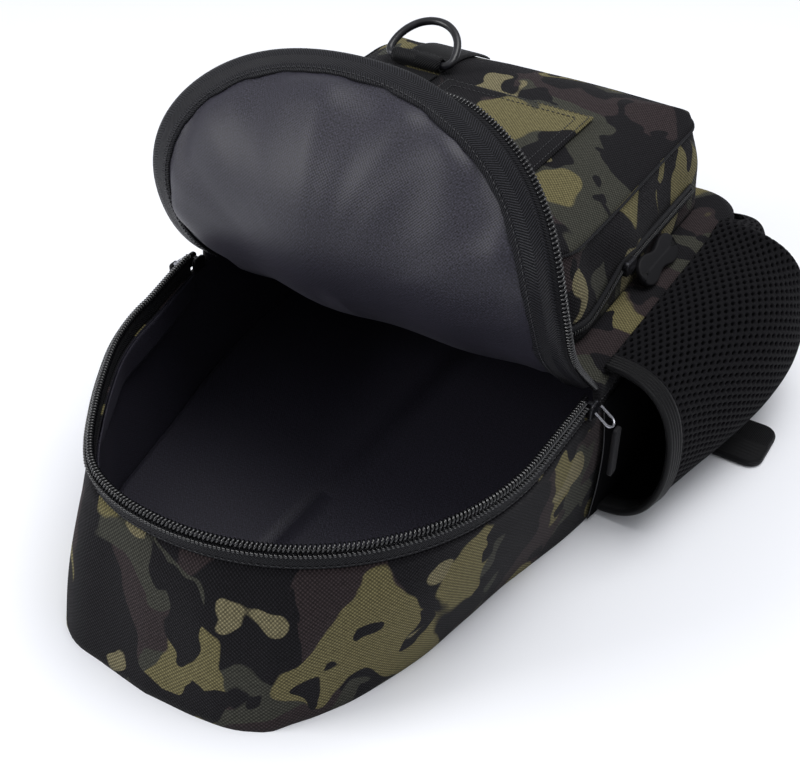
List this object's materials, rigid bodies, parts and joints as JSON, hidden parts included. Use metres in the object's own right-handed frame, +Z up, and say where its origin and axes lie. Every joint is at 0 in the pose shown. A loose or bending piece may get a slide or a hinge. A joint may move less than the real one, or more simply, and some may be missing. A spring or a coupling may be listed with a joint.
{
  "type": "fishing tackle sling bag",
  "caption": "Camouflage sling bag for fishing tackle, lying on its back with its zipped lid thrown open, with a front pocket, a mesh bottle pocket and a sling strap.",
  "frame": {"origin": "middle of the back, on the surface that the bag lies on", "axes": "+Z up out of the bag's front, +Y from the bag's top end to its foot, +X towards the bottle pocket"},
  "size_m": [0.3366, 0.5791, 0.2381],
  "materials": {
    "camo": "woven oxford cloth in a camouflage print",
    "lining": "coated nylon lining, soft sheen",
    "webbing": "black woven webbing and binding",
    "mesh": "black knitted spacer mesh",
    "nylon": "black nylon, semi gloss",
    "steel": "black enamelled metal",
    "rubber": "moulded soft rubber, satin"
  },
  "bodies": {
    "bag": {"gusset": "camo", "back_panel": "lining", "rim_tape": "webbing", "rim_coil": "nylon", "lining_hem": "lining", "front_panel": "camo", "lid_panel": "lining", "lid_binding": "webbing", "lid_coil": "nylon", "front_pocket": "camo", "pocket_piping": "webbing", "pocket_chain": "nylon", "pocket_slider": "steel", "pocket_grip": "rubber", "patch_pocket": "camo", "ring_strip": "webbing", "ring_fold": "webbing", "ring_band": "webbing", "bottle_pocket": "mesh", "bottle_binding": "webbing", "left_back_pad": "mesh", "right_back_pad": "mesh", "strap_pad": "mesh", "strap_anchor": "webbing", "strap_belt": "webbing", "belt_end": "webbing", "foot_tab": "webbing", "belt_glide": "nylon", "side_tab": "webbing", "left_slider": "steel", "left_pull_wire": "steel", "left_pull": "rubber", "right_slider": "steel", "right_pull_wire": "steel", "right_pull": "rubber"},
    "ring": {"d_ring": "steel"}
  },
  "joints": [
    {"name": "ring_hinge", "type": "hinge", "parent": "bag", "child": "ring", "pos_m": [-0.067, 0.1385, 0.1698], "axis": [1, 0, 0], "range_deg": [-29, 143]}
  ]
}
